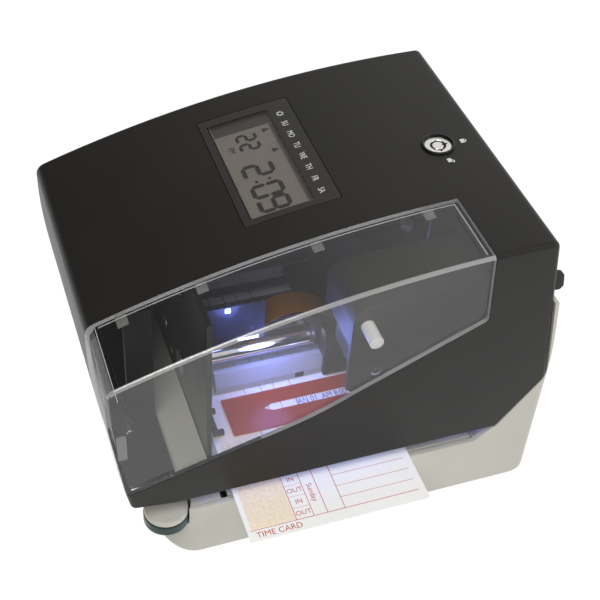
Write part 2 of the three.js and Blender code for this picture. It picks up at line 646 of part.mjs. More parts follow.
function flexSection() {
  const route = new THREE.CubicBezierCurve(
    new THREE.Vector2(81, 73), new THREE.Vector2(90, 80),
    new THREE.Vector2(104, 80), new THREE.Vector2(116, 67),
  );
  const middle = route.getPoints(ARC_STEPS);
  const side = (sign) => middle.map((p, i) => {
    const normal = route.getTangent(i / ARC_STEPS);
    return [p.x - sign * FLEX.half * normal.y, p.y + sign * FLEX.half * normal.x];
  });
  return outline([...side(1), ...side(-1).reverse()]);
}
place("flex_cable", alongY(flexSection(), FLEX.front, FLEX.back), AMBER_FLEX);

// ---------- setting panel, boards and power ----------
function panelSection() {
  const { left, right, low, top, thick } = PANEL;
  return outline([
    [left, low], [left + thick, low], [left + thick, top - thick], [right - thick, top - thick],
    [right - thick, low], [right, low], [right, top], [left, top],
  ]);
}
const buttonHole = BUTTON.radius + GAP;
const panelHoles = BUTTON.ys.map(
  (y) => alongZ(circle(BUTTON.x, y, buttonHole), PANEL.top - 4, PANEL.top + 1),
);
place(
  "setting_panel",
  toGeometry(cut(toSolid(alongY(panelSection(), PANEL.front, PANEL.back)), ...panelHoles)),
  GREY_PART,
);
BUTTON.ys.forEach((y, i) => {
  place(`set_button_${i + 1}`, alongZ(circle(BUTTON.x, y, BUTTON.radius), BUTTON.low, BUTTON.top), NYLON);
});
const keeperBack = LOCK.y - LOCK.camLength - LOCK.camGap;
place(
  "lock_keeper",
  block(KEEPER.left, KEEPER.right, keeperBack - KEEPER.thick, keeperBack, PANEL.top + GAP, KEEPER.top),
  ZINC,
);

function makeMainBoard() {
  const { left, right, front, back, low, top } = MAIN_BOARD;
  const chips = CHIPS.map(([x0, x1, y0, y1, chipTop]) => block(x0, x1, y0, y1, top - 0.1, chipTop));
  return join(block(left, right, front, back, low, top), ...chips);
}
place("main_board", toGeometry(makeMainBoard()), BOARD_GREEN);

function makeInlet() {
  const { y, z, half, left, right, bore, boreLeft } = INLET;
  const body = toSolid(block(left, right, y - half, y + half, z - half, z + half));
  return cut(body, alongX(circle(y, z, bore), boreLeft, right + 1));
}
place("power_inlet", toGeometry(makeInlet()), BLACK_PART);
place(
  "backup_battery",
  block(BATTERY.left, BATTERY.right, BATTERY.front, BATTERY.back, BATTERY.low, BATTERY.top),
  BLACK_PART,
);
place("buzzer", alongZ(circle(BUZZER.x, BUZZER.y, BUZZER.radius), BUZZER.low, BUZZER.top), BLACK_PART);

// ---------- origin under the middle of the clock ----------
const extent = new THREE.Box3().setFromObject(clock);
const middle = extent.getCenter(new THREE.Vector3());
clock.position.set(-middle.x, -middle.y, -extent.min.z);

export default clock;
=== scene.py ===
"""Punch time clock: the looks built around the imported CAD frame. Blender 4.5."""
import math

import bmesh
import bpy
from mathutils import Matrix, Vector


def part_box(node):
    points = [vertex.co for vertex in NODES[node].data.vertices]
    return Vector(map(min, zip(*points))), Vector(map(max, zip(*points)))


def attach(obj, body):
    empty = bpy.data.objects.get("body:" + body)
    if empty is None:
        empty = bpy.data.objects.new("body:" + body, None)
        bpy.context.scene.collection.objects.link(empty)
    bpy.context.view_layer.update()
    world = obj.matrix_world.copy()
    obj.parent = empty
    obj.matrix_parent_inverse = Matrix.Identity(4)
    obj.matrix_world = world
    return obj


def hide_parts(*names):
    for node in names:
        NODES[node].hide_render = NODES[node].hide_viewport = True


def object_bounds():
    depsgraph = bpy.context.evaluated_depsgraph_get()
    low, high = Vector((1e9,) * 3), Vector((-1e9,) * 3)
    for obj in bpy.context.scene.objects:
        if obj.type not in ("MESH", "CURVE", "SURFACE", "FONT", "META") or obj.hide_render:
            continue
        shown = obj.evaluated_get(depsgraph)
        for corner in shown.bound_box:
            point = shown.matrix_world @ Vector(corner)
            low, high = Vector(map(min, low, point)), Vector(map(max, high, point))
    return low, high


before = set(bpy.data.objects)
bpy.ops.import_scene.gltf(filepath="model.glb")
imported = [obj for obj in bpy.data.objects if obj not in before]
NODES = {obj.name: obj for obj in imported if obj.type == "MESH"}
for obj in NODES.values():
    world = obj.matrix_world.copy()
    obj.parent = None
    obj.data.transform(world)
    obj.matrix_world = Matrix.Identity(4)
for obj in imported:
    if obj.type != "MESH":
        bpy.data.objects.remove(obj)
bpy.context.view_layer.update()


# ---------- working frame: the design's own millimetres ----------
# x = 0 at the cover's lower left front corner, y = 0 on its front face, z = 0 under the base.
FOOT_AT = (46.0, 16.0)
FOOT_HEIGHT = 3.0
foot_low, foot_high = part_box("foot_1")
SHIFT = Vector((
    (foot_low.x + foot_high.x) / 2 - FOOT_AT[0] / 1000,
    (foot_low.y + foot_high.y) / 2 - FOOT_AT[1] / 1000,
    foot_low.z + FOOT_HEIGHT / 1000,
))


def at(x, y, z):
    """A place in working millimetres, as a point of the row frame in metres."""
    return Vector((x, y, z)) / 1000 + SHIFT


def span(node):
    """Low and high corner of a CAD node in working millimetres."""
    return [(corner - SHIFT) * 1000 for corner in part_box(node)]


DEPTH = 151.2
WALL = 2.2
TOP_RADIUS = 560.0
TOP_CENTRE = (186.0, 154.5 - 560.0)
COVER_LEFT_TOP = (-7.8, 120.0)
COVER_LEFT_LOW = (0.2, 44.0)
COVER_BULGE = (-7.9, 84.0)
COVER_ROUND = 5.0
COVER_LOW = 41.0
COVER_CUT = (176.0, 41.0)
COVER_RIGHT_LOW = (197.1, 70.6)
COVER_RIGHT_TOP = (186.1, 154.1)
LEDGE = 32.7
BASE_LEFT = 11.4
BASE_RIGHT = 199.2
BASE_WALL = 2.5
BLOCK_RIGHT = 41.5
BASE_TOP = 118.0
LOCK_AT = (163.3, 76.0)
CAP_AT = (17.0, 7.0)
HINGE_AT = (9.0, 46.0)


def top_z(x):
    return TOP_CENTRE[1] + math.sqrt(TOP_RADIUS ** 2 - (x - TOP_CENTRE[0]) ** 2)


def top_tilt(x):
    return math.asin((TOP_CENTRE[0] - x) / TOP_RADIUS)


# ---------- outlines ----------
def arc(cx, cy, radius, start, end, steps):
    """Points of an arc, angles in degrees, both ends included."""
    angles = [math.radians(start + (end - start) * i / steps) for i in range(steps + 1)]
    return [(cx + radius * math.cos(a), cy + radius * math.sin(a)) for a in angles]


def bow(start, control, end, steps):
    """Points of a curve from start to end that leans towards control."""
    points = []
    for i in range(steps + 1):
        t = i / steps
        points.append(tuple(
            a * (1 - t) ** 2 + b * 2 * t * (1 - t) + c * t * t for a, b, c in zip(start, control, end)
        ))
    return points


def rounded(points, radii, steps=8):
    """A closed outline with each corner rounded by its own radius."""
    out = []
    count = len(points)
    for i, (corner, radius) in enumerate(zip(points, radii)):
        here = Vector(corner)
        before = (Vector(points[i - 1]) - here)
        after = (Vector(points[(i + 1) % count]) - here)
        if radius <= 0:
            out.append(tuple(here))
            continue
        half = before.angle(after) / 2
        reach = min(radius / math.tan(half), 0.49 * before.length, 0.49 * after.length)
        first = here + before.normalized() * reach
        last = here + after.normalized() * reach
        for k in range(steps + 1):
            t = k / steps
            out.append(tuple(first * (1 - t) ** 2 + here * 2 * t * (1 - t) + last * t ** 2))
    return out


def rectangle(x0, x1, y0, y1, radius=0.0, steps=6):
    corners = [(x0, y0), (x1, y0), (x1, y1), (x0, y1)]
    return rounded(corners, [radius] * 4, steps)


def circle(cx, cy, radius, steps=64):
    return arc(cx, cy, radius, 0, 360 - 360 / steps, steps - 1)


# ---------- mesh helpers ----------
def new_object(name, mesh):
    obj = bpy.data.objects.new(name, mesh)
    bpy.context.scene.collection.objects.link(obj)
    return obj


def mesh_object(name, verts, faces):
    mesh = bpy.data.meshes.new(name)
    mesh.from_pydata([tuple(v) for v in verts], [], faces)
    mesh.validate()
    return new_object(name, mesh)


def prism(name, points, axis, low, high):
    """A closed outline drawn in the two other axes, in order, extruded along an axis."""
    order = {"x": (2, 0, 1), "y": (0, 2, 1), "z": (0, 1, 2)}[axis]

    def place(a, b, c):
        raw = (a, b, c)
        return at(*(raw[order[i]] for i in range(3)))

    count = len(points)
    verts = [place(a, b, low) for a, b in points] + [place(a, b, high) for a, b in points]
    faces = [list(range(count)), list(range(2 * count - 1, count - 1, -1))]
    for i in range(count):
        j = (i + 1) % count
        faces.append([i, i + count, j + count, j])
    obj = mesh_object(name, verts, faces)
    face_outwards(obj)
    return obj


def face_outwards(obj):
    bm = bmesh.new()
    bm.from_mesh(obj.data)
    bmesh.ops.recalc_face_normals(bm, faces=bm.faces)
    bm.to_mesh(obj.data)
    bm.free()


def box(name, x0, x1, y0, y1, z0, z1):
    return prism(name, [(x0, y0), (x1, y0), (x1, y1), (x0, y1)], "z", z0, z1)


def bake(obj):
    """Applies all of an object's modifiers."""
    depsgraph = bpy.context.evaluated_depsgraph_get()
    mesh = bpy.data.meshes.new_from_object(obj.evaluated_get(depsgraph))
    old = obj.data
    obj.modifiers.clear()
    obj.data = mesh
    bpy.data.meshes.remove(old)
    return obj


def soften(obj, width, segments=3, angle=30.0, apply=True):
    """Rounds the sharp edges."""
    bevel = obj.modifiers.new("bevel", "BEVEL")
    bevel.width = width / 1000
    bevel.segments = segments
    bevel.limit_method = "ANGLE"
    bevel.angle_limit = math.radians(angle)
    bevel.harden_normals = False
    return bake(obj) if apply else obj


def soften_chosen(obj, width, segments, chosen, angle=30.0):
    """Rounds only the sharp edges whose two ends pass a test, given as points."""
    bm = bmesh.new()
    bm.from_mesh(obj.data)
    weight = bm.edges.layers.float.new("bevel_weight_edge")
    for edge in bm.edges:
        sharp = edge.calc_face_angle(0.0) > math.radians(angle)
        if sharp and chosen(*(vert.co for vert in edge.verts)):
            edge[weight] = 1.0
    bm.to_mesh(obj.data)
    bm.free()
    bevel = obj.modifiers.new("bevel", "BEVEL")
    bevel.width = width / 1000
    bevel.segments = segments
    bevel.limit_method = "WEIGHT"
    return bake(obj)


def combine(obj, tools, operation="DIFFERENCE"):
    """Joins, cuts or intersects obj with the tools, which are used up."""
    for tool in tools:
        boolean = obj.modifiers.new("boolean", "BOOLEAN")
        boolean.solver = "EXACT"
        boolean.operation = operation
        boolean.object = tool
        bake(obj)
        bpy.data.objects.remove(tool)
    return obj


def duplicate(obj, name):
    return new_object(name, obj.data.copy())


def smooth(obj, angle=32.0, weighted=True):
    for polygon in obj.data.polygons:
        polygon.use_smooth = True
    obj.data.set_sharp_from_angle(angle=math.radians(angle))
    if weighted:
        normals = obj.modifiers.new("normals", "WEIGHTED_NORMAL")
        normals.keep_sharp = True
    return obj


def merge(name, pieces):
    """One object out of several separate ones."""
    bm = bmesh.new()
    for piece in pieces:
        bm.from_mesh(piece.data)
        bpy.data.objects.remove(piece)
    mesh = bpy.data.meshes.new(name)
    bm.to_mesh(mesh)
    bm.free()
    return new_object(name, mesh)


def lathe(name, profile, steps=64):
    """A turned shape about the local Z axis, profile as (radius, height) in millimetres."""
    verts, faces = [], []
    for i in range(steps):
        a = 2 * math.pi * i / steps
        verts += [Vector((r * math.cos(a), r * math.sin(a), h)) / 1000 for r, h in profile]
    count = len(profile)
    for i in range(steps):
        j = (i + 1) % steps
        for k in range(count):
            m = (k + 1) % count
            faces.append([i * count + k, j * count + k, j * count + m, i * count + m])
    obj = mesh_object(name, verts, faces)
    bm = bmesh.new()
    bm.from_mesh(obj.data)
    bmesh.ops.remove_doubles(bm, verts=bm.verts, dist=1e-7)
    bmesh.ops.dissolve_degenerate(bm, edges=bm.edges, dist=1e-8)
    bmesh.ops.recalc_face_normals(bm, faces=bm.faces)
    bm.to_mesh(obj.data)
    bm.free()
    return obj


def set_frame(obj, matrix):
    """Moves the mesh itself, so that the object stays at the origin."""
    obj.data.transform(matrix)
    obj.data.update()
    return obj


def finished(obj, body, slot, material, *nodes):
    obj.data.materials.clear()
    obj.data.materials.append(material)
    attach(obj, body)
    if nodes:
        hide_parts(*nodes)
    return obj


# ---------- materials ----------
def new_material(name):
    material = bpy.data.materials.new(name)
    material.use_nodes = True
    tree = material.node_tree
    return material, tree, tree.nodes["Principled BSDF"]


def add_bump(tree, shader, scale, strength, distance=0.0002, detail=4.0):
    coords = tree.nodes.new("ShaderNodeTexCoord")
    noise = tree.nodes.new("ShaderNodeTexNoise")
    bump = tree.nodes.new("ShaderNodeBump")
    noise.inputs["Scale"].default_value = scale
    noise.inputs["Detail"].default_value = detail
    bump.inputs["Strength"].default_value = strength
    bump.inputs["Distance"].default_value = distance
    tree.links.new(coords.outputs["Object"], noise.inputs["Vector"])
    tree.links.new(noise.outputs["Fac"], bump.inputs["Height"])
    tree.links.new(bump.outputs["Normal"], shader.inputs["Normal"])
    return coords


def vary(tree, shader, coords, socket, low, high, scale):
    """Lets a colour or a value wander between two settings with slow noise."""
    noise = tree.nodes.new("ShaderNodeTexNoise")
    noise.inputs["Scale"].default_value = scale
    noise.inputs["Detail"].default_value = 5.0
    tree.links.new(coords.outputs["Object"], noise.inputs["Vector"])
    if isinstance(low, tuple):
        ramp = tree.nodes.new("ShaderNodeValToRGB")
        ramp.color_ramp.elements[0].position = 0.3
        ramp.color_ramp.elements[1].position = 0.7
        ramp.color_ramp.elements[0].color = (*low, 1)
        ramp.color_ramp.elements[1].color = (*high, 1)
        tree.links.new(noise.outputs["Fac"], ramp.inputs["Fac"])
        tree.links.new(ramp.outputs["Color"], shader.inputs[socket])
        return
    remap = tree.nodes.new("ShaderNodeMapRange")
    remap.inputs["To Min"].default_value = low
    remap.inputs["To Max"].default_value = high
    tree.links.new(noise.outputs["Fac"], remap.inputs["Value"])
    tree.links.new(remap.outputs["Result"], shader.inputs[socket])


def plastic(name, low, high, rough, grain=900.0, strength=0.25, specular=0.5, coat=0.0):
    """Moulded plastic: slight colour drift, uneven gloss and a fine eroded grain."""
    material, tree, shader = new_material(name)
    coords = add_bump(tree, shader, grain, strength)
    vary(tree, shader, coords, "Base Color", low, high, 18.0)
    vary(tree, shader, coords, "Roughness", rough[0], rough[1], 60.0)
    shader.inputs["Specular IOR Level"].default_value = specular
    shader.inputs["Coat Weight"].default_value = coat
    shader.inputs["Coat Roughness"].default_value = 0.15
    return material


def metal(name, color, rough, brushed=False):
    material, tree, shader = new_material(name)
    shader.inputs["Metallic"].default_value = 1.0
    shader.inputs["Base Color"].default_value = (*color, 1)
    coords = add_bump(tree, shader, 400.0 if brushed else 120.0, 0.15 if brushed else 0.02)
    vary(tree, shader, coords, "Roughness", rough[0], rough[1], 90.0)
    return material


def clear_plastic(name, tint, body, least, most, rough=0.04, mirror=1.0, ripple=0.006):
    """Thin clear plastic: light passes straight through, and more is mirrored at grazing angles."""
    material, tree, shader = new_material(name)
    shader.inputs["Base Color"].default_value = (*body, 1)
    shader.inputs["Metallic"].default_value = mirror
    add_bump(tree, shader, 35.0, ripple, 0.0002, 2.0)
    shader.inputs["Roughness"].default_value = rough
    through = tree.nodes.new("ShaderNodeBsdfTransparent")
    through.inputs["Color"].default_value = (*tint, 1)
    facing = tree.nodes.new("ShaderNodeLayerWeight")
    grazing = tree.nodes.new("ShaderNodeMath")
    grazing.operation = "POWER"
    grazing.inputs[1].default_value = 4.0
    remap = tree.nodes.new("ShaderNodeMapRange")
    remap.inputs["To Min"].default_value = least
    remap.inputs["To Max"].default_value = most
    mix = tree.nodes.new("ShaderNodeMixShader")
    output = tree.nodes["Material Output"]
    tree.links.new(facing.outputs["Facing"], grazing.inputs[0])
    tree.links.new(grazing.outputs["Value"], remap.inputs["Value"])
    tree.links.new(remap.outputs["Result"], mix.inputs["Fac"])
    tree.links.new(through.outputs["BSDF"], mix.inputs[1])
    tree.links.new(shader.outputs["BSDF"], mix.inputs[2])
    tree.links.new(mix.outputs["Shader"], output.inputs["Surface"])
    return material


def ink(name, color, rough=0.7):
    material, tree, shader = new_material(name)
    coords = add_bump(tree, shader, 2500.0, 0.1)
    darker = tuple(c * 0.85 for c in color)
    vary(tree, shader, coords, "Base Color", darker, color, 700.0)
    shader.inputs["Roughness"].default_value = rough
    return material


def glow(name, color, strength):
    material, _, shader = new_material(name)
    shader.inputs["Base Color"].default_value = (*color, 1)
    shader.inputs["Emission Color"].default_value = (*color, 1)
    shader.inputs["Emission Strength"].default_value = strength
    return material


BLACK_SHELL = plastic(
    "black_shell", (0.0085, 0.0076, 0.0064), (0.0115, 0.0103, 0.0088),
    (0.36, 0.46), 1400.0, 0.3, 0.28,
)
GREY_SHELL = plastic("grey_shell", (0.42, 0.41, 0.355), (0.47, 0.46, 0.40), (0.38, 0.5), 1200.0, 0.25)
BLACK_PART = plastic(
    "black_part", (0.006, 0.0056, 0.005), (0.010, 0.0095, 0.009),
    (0.25, 0.4), 700.0, 0.15, 0.3,
)
GREY_PART = plastic("grey_part", (0.022, 0.021, 0.019), (0.032, 0.030, 0.027), (0.4, 0.5), 800.0, 0.2, 0.3)
NYLON = plastic("nylon", (0.74, 0.73, 0.69), (0.82, 0.81, 0.78), (0.35, 0.5), 600.0, 0.1)
FROSTED = plastic("frosted_nylon", (0.36, 0.36, 0.37), (0.42, 0.42, 0.43), (0.3, 0.4), 600.0, 0.1)
RUBBER = plastic("rubber", (0.012, 0.012, 0.012), (0.03, 0.03, 0.03), (0.7, 0.9), 1500.0, 0.5)
BOARD = plastic("circuit_board", (0.012, 0.09, 0.03), (0.02, 0.13, 0.05), (0.3, 0.4), 300.0, 0.3)
TEAL = plastic("teal_lens", (0.016, 0.038, 0.036), (0.022, 0.046, 0.043), (0.25, 0.35), 100.0, 0.02, 0.25)
AMBER = plastic("amber_flex", (0.22, 0.085, 0.012), (0.30, 0.13, 0.02), (0.25, 0.35), 200.0, 0.1)
PAPER = plastic("card_paper", (0.86, 0.855, 0.84), (0.91, 0.905, 0.89), (0.8, 0.9), 2500.0, 0.3)
LCD_GREY = plastic("lcd_grey", (0.185, 0.172, 0.160), (0.20, 0.186, 0.173), (0.3, 0.35), 100.0, 0.01, 0.2)
CHROME = metal("chrome_steel", (0.82, 0.82, 0.83), (0.08, 0.14))
LOCK_STEEL = metal("lock_steel", (0.80, 0.79, 0.76), (0.25, 0.32))
ZINC = metal("zinc_steel", (0.5, 0.51, 0.53), (0.3, 0.42), True)
CLEAR = clear_plastic("clear_window", (0.955, 0.955, 0.955), (0.95, 0.95, 0.95), 0.05, 0.32)
# A lighter, more opaque clear material that paints highlights on the window's ridges, its cut faces and the
# rim line.
CLEAR_EDGE_HIGHLIGHT = clear_plastic("clear_edge_highlight", (0.85, 0.85, 0.86), (0.66, 0.65, 0.64), 0.42, 0.8, 0.12, 0.2)
# A lighter clear material that paints the highlight on the window's rounded left corner.
CLEAR_RIM_HIGHLIGHT = clear_plastic("clear_rim_highlight", (0.9, 0.9, 0.9), (0.70, 0.69, 0.68), 0.14, 0.45, 0.1, 0.3)
SMOKED = clear_plastic("smoked_lens", (0.93, 0.92, 0.91), (0.9, 0.9, 0.9), 0.02, 0.5, 0.06)
CLEAR_CLIP = clear_plastic("clear_clip", (0.8, 0.8, 0.8), (0.62, 0.61, 0.59), 0.18, 0.6, 0.3, 0.0)
RED_FILM = clear_plastic("red_film", (0.85, 0.16, 0.12), (0.55, 0.05, 0.035), 0.4, 0.6, 0.25, 0.0)
CARD_INK = ink("card_ink", (0.55, 0.09, 0.03))
CREAM_INK = ink("cream_ink", (0.93, 0.80, 0.62))
STAMP_INK = ink("stamp_ink", (0.05, 0.07, 0.28))
LCD_DARK = ink("lcd_dark", (0.012, 0.010, 0.009), 0.4)
LCD_BAND = plastic("lcd_band", (0.05, 0.046, 0.042), (0.062, 0.058, 0.053), (0.3, 0.4), 100.0, 0.01, 0.2)
DISPLAY_BORDER = plastic(
    "display_border", (0.020, 0.0185, 0.0165), (0.024, 0.022, 0.020),
    (0.3, 0.36), 500.0, 0.05, 0.34,
)
LOCK_BLACK = plastic(
    "lock_black", (0.003, 0.003, 0.003), (0.005, 0.005, 0.005),
    (0.2, 0.3), 300.0, 0.05, 0.3,
)
LAMP_BLACK = plastic(
    "lamp_black", (0.010, 0.011, 0.018), (0.015, 0.016, 0.026),
    (0.4, 0.5), 300.0, 0.05, 0.3,
)
WHITE_INK = ink("white_ink", (0.62, 0.62, 0.60))
BLUE_GLOW = glow("blue_glow", (0.30, 0.40, 1.0), 14.0)


# ---------- flat marks: print, symbols and lettering as thin solids ----------
def plate(name, points, low, high, matrix=None):
    """A thin solid from a closed outline in a plane, in millimetres, moved by matrix if given."""
    count = len(points)
    verts = [Vector((a, b, low)) / 1000 for a, b in points]
    verts += [Vector((a, b, high)) / 1000 for a, b in points]
    faces = [list(range(count - 1, -1, -1)), list(range(count, 2 * count))]
    for i in range(count):
        j = (i + 1) % count
        faces.append([i, j, j + count, i + count])
    obj = mesh_object(name, verts, faces)
    face_outwards(obj)
    return set_frame(obj, matrix) if matrix else obj


def ring_plate(name, radius, width, low, high, matrix=None):
    obj = lathe(name, [
        (radius - width / 2, low), (radius + width / 2, low),
        (radius + width / 2, high), (radius - width / 2, high),
    ], 40)
    return set_frame(obj, matrix) if matrix else obj


def lettering(name, text, size, low, high, matrix, align="CENTER"):
    """Generic words and figures as a thin solid."""
    curve = bpy.data.curves.new(name, "FONT")
    curve.body = text
    curve.size = size / 1000
    curve.align_x = align
    curve.align_y = "CENTER"
    curve.extrude = (high - low) / 2000
    curve.resolution_u = 3
    source = new_object(name + "_curve", curve)
    bpy.context.view_layer.update()
    depsgraph = bpy.context.evaluated_depsgraph_get()
    mesh = bpy.data.meshes.new_from_object(source.evaluated_get(depsgraph))
    bpy.data.objects.remove(source)
    bpy.data.curves.remove(curve)
    mesh.transform(Matrix.Translation((0, 0, (low + high) / 2000)))
    bm = bmesh.new()
    bm.from_mesh(mesh)
    bmesh.ops.remove_doubles(bm, verts=bm.verts, dist=1e-7)
    bm.to_mesh(mesh)
    bm.free()
    obj = new_object(name, mesh)
    return set_frame(obj, matrix)


NARROW = Matrix.Diagonal((0.72, 1, 1, 1))


def plane_frame(origin, turn=0.0):
    """A level frame at a place in working millimetres, turned about Z in degrees."""
    return Matrix.Translation(at(*origin)) @ Matrix.Rotation(math.radians(turn), 4, "Z")


def top_frame(x, y, rise=0.0, turn=0.0):
    """A frame on the cover's curved top: local Z is the surface normal."""
    tilt = Matrix.Rotation(-top_tilt(x), 4, "Y")
    place = Matrix.Translation(at(x, y, top_z(x)))
    lift = Matrix.Translation((0, 0, rise / 1000))
    return place @ tilt @ lift @ Matrix.Rotation(math.radians(turn), 4, "Z")


# ---------- cover, window and lens ----------
def top_arc(radius, start_x, end_x, steps=48):
    start, end = (math.degrees(math.acos((x - TOP_CENTRE[0]) / radius)) for x in (start_x, end_x))
    return arc(*TOP_CENTRE, radius, start, end, steps)


def cover_outline():
    left_x, left_z = COVER_LEFT_TOP
    shoulder = (left_x + 0.5, left_z - COVER_ROUND)
    start_x = left_x + COVER_ROUND
    low_side = bow(COVER_LEFT_LOW, COVER_BULGE, shoulder, 12)
    low_side += bow(shoulder, COVER_LEFT_TOP, (start_x, top_z(start_x)), 8)[1:-1]
    end_x = COVER_RIGHT_TOP[0] - 3
    right_end = (COVER_RIGHT_TOP[0] + 0.4, COVER_RIGHT_TOP[1] - 3)
    high_side = bow((end_x, top_z(end_x)), COVER_RIGHT_TOP, right_end, 6)
    low_edge = [COVER_RIGHT_LOW, COVER_CUT, (20.0, COVER_LOW)]
    return low_side + top_arc(TOP_RADIUS, start_x, end_x) + high_side[1:] + low_edge


def cavity_outline(wall):
    left_x, left_z = COVER_LEFT_TOP
    low = (COVER_LEFT_LOW[0] + wall, COVER_LEFT_LOW[1])
    control = (COVER_BULGE[0] + wall, COVER_BULGE[1])
    left = [(low[0] + 1, 15)] + bow(low, control, (left_x + wall + 0.4, left_z - 5), 12)
    right = [(COVER_RIGHT_TOP[0] + 0.4 - wall, COVER_RIGHT_TOP[1] - 3 - wall),
             (COVER_RIGHT_LOW[0] - wall, COVER_RIGHT_LOW[1]), (COVER_RIGHT_LOW[0] - wall, 15)]
    return left + top_arc(TOP_RADIUS - wall, left_x + wall + 3, COVER_RIGHT_TOP[0] - wall - 1) + right


WINDOW_BACK = 39.3
WINDOW_RIGHT_TOP = 156.6
WINDOW_RIGHT_LOW = (159.6, 116.2)


def window_edge(inset):
    """The S-shaped lower edge on the front face, left to right."""
    points = [(-0.4, 53.6)] + bow((58.7, 71.4), (84.0, 78.0), (99.4, 87.0), 14)
    return [(x, z + inset) for x, z in points]


def window_region(name, inset):
    right_x, right_z = WINDOW_RIGHT_LOW
    outline = [(-20, 52 + inset)] + window_edge(inset)
    outline += rounded(
        [outline[-1], (right_x - inset, right_z + inset), (WINDOW_RIGHT_TOP - inset, 154)], [0, 3, 0],
    )[1:-1]
    outline += [(WINDOW_RIGHT_TOP - inset, 154), (WINDOW_RIGHT_TOP - inset, 175), (-20, 175)]
    return prism(name, outline, "y", -5, WINDOW_BACK - inset)


DISPLAY_BOX = (67.0, 111.0, 57.5, 134.8)
LCD_BOX = (71.3, 100.5, 63.3, 131.4)
LCD_OPENING = (70.6, 99.8, 61.5, 129.6)
LENS_THICK = 1.4
FRAME_THICK = 0.3
LCD_BELOW = LENS_THICK + 0.5


def display_cut(name, inset):
    x0, x1, y0, y1 = DISPLAY_BOX
    outline = rectangle(x0 + inset, x1 - inset, y0 + inset, y1 - inset, 1.0)
    return prism(name, outline, "z", 128, 170)


def lcd_cut(name, inset):
    """The see-through part of the lens, over the liquid crystal panel."""
    x0, x1, y0, y1 = LCD_OPENING
    return prism(name, rectangle(x0 + inset, x1 - inset, y0 + inset, y1 - inset, 0.4), "z", 128, 170)


def hinge_hook(name, y0, y1):
    x, z = HINGE_AT
    outline = rounded([
        (-1.2, 62), (0.9, 44.8), (5, z - 4), (x, z - 4.4),
        (x + 4, z - 2), (x + 4.4, z + 1), (x + 1, z + 6), (4, 60),
    ], [0, 0, 1.5, 1.5, 1.5, 1.5, 3, 1])
    hook = prism(name, outline, "y", y0, y1)
    return combine(hook, [prism("hole", circle(x, z, 1.8, 32), "y", y0 - 1, y1 + 1)])


def shine_edges(window):
    """Paints highlights on the clear shell: the rounded ridges and the narrow cut faces get the lighter,
    more opaque edge-highlight material, and the rounded left corner gets the rim-highlight material.
    """
    window.data.materials.append(CLEAR_EDGE_HIGHLIGHT)
    window.data.materials.append(CLEAR_RIM_HIGHLIGHT)
    back = at(0, WINDOW_BACK - 0.3, 0).y
    right = at(WINDOW_RIGHT_TOP - 0.3, 0, 0).x
    front = at(0, 3, 0).y
    for polygon in window.data.polygons:
        centre, normal = polygon.center, polygon.normal
        cut_back = abs(centre.y - back) < 1e-4 and normal.y > 0.9
        cut_right = centre.x > right - 0.0005 and normal.x > 0.7
        cut_low = normal.z < -0.6 and centre.y < front and centre.z < at(0, 0, 118).z
        ridge = min(-normal.y, normal.z) > 0.3 and centre.y < front
        corner = min(-normal.x, normal.z) > 0.45 and centre.x < at(5, 0, 0).x
        # Ridges and cut faces get the painted edge highlight, and the rounded left corner gets the painted
        # rim highlight.
        if cut_back or cut_right or cut_low or ridge:
            polygon.material_index = 1
        elif corner:
            polygon.material_index = 2


TAB_CORNERS = [(187, 123), (194, 122.6), (195.6, 124.6), (194.4, 132), (186.6, 134)]
TAB_RADII = [0, 0.8, 1.2, 2.5, 0]
TAB_DEPTH = (3.4, 6.4)


def make_cover():
    outer = prism("outer", cover_outline(), "y", 0, DEPTH)
    low_line = at(0, 0, COVER_RIGHT_LOW[1] + 0.1).z
    inside = at(COVER_LEFT_LOW[0] - 0.01, 0, 0).x

    def upper(first, second):
        """False along the lower edge of the shell, which stays crisp."""
        return not all(point.z < low_line and point.x > inside for point in (first, second))

    soften_chosen(outer, 2.2, 5, upper)
    soften(outer, 0.4, 2)
    lens_stock = duplicate(outer, "lens_stock")
    window = duplicate(outer, "print_window_clear")
    cavity = prism("cavity", cavity_outline(WALL), "y", WALL, DEPTH - WALL)
    lens_cavity = prism("lens_cavity", cavity_outline(LENS_THICK), "y", WALL, DEPTH - WALL)
    window_cavity = prism("window_cavity", cavity_outline(2.0), "y", 2.0, DEPTH)

    cover = outer
    cover.name = "cover_shell"
    lock_hole = prism("lock_hole", circle(*LOCK_AT, 7.2), "z", 135, 165)
    combine(cover, [cavity, window_region("cut", 0.0), display_cut("display_hole", 0.0), lock_hole])
    tab = soften(prism("tab", rounded(TAB_CORNERS, TAB_RADII), "y", *TAB_DEPTH), 0.5, 3)
    hooks = [hinge_hook("hook", 44.5, 49.5), hinge_hook("hook", 119.5, 124.5)]
    combine(cover, [tab] + hooks, "UNION")
    finished(smooth(cover), "cover", "black_shell", BLACK_SHELL, "top_cover")

    combine(window, [window_cavity])
    combine(window, [window_region("keep", 0.3)], "INTERSECT")
    finished(smooth(window), "cover", "clear_plastic", CLEAR, "print_window")
    shine_edges(window)

    pane = duplicate(lens_stock, "display_pane")
    combine(pane, [lens_cavity])
    combine(pane, [lcd_cut("keep", 0.05)], "INTERSECT")
    lens_stock.name = "display_frame"
    combine(lens_stock, [prism("frame_cavity", cavity_outline(FRAME_THICK), "y", WALL, DEPTH - WALL)])
    combine(lens_stock, [display_cut("keep", 0.35)], "INTERSECT")
    combine(lens_stock, [lcd_cut("opening", 0.0)])
    finished(smooth(lens_stock), "cover", "smoked_plastic", DISPLAY_BORDER, "display_lens")
    finished(smooth(pane), "cover", "smoked_plastic", SMOKED, "display_lens")


make_cover()


# ---------- window skirt and clips ----------
def strip_under_top(x0, x1, y0, y1, low, high, steps=40):
    """A bar that follows the curved top at a depth below it."""
    xs = [x0 + (x1 - x0) * i / steps for i in range(steps + 1)]
    outline = [(x, top_z(x) - low) for x in xs] + [(x, top_z(x) - high) for x in reversed(xs)]
    return prism("strip", outline, "y", y0, y1)


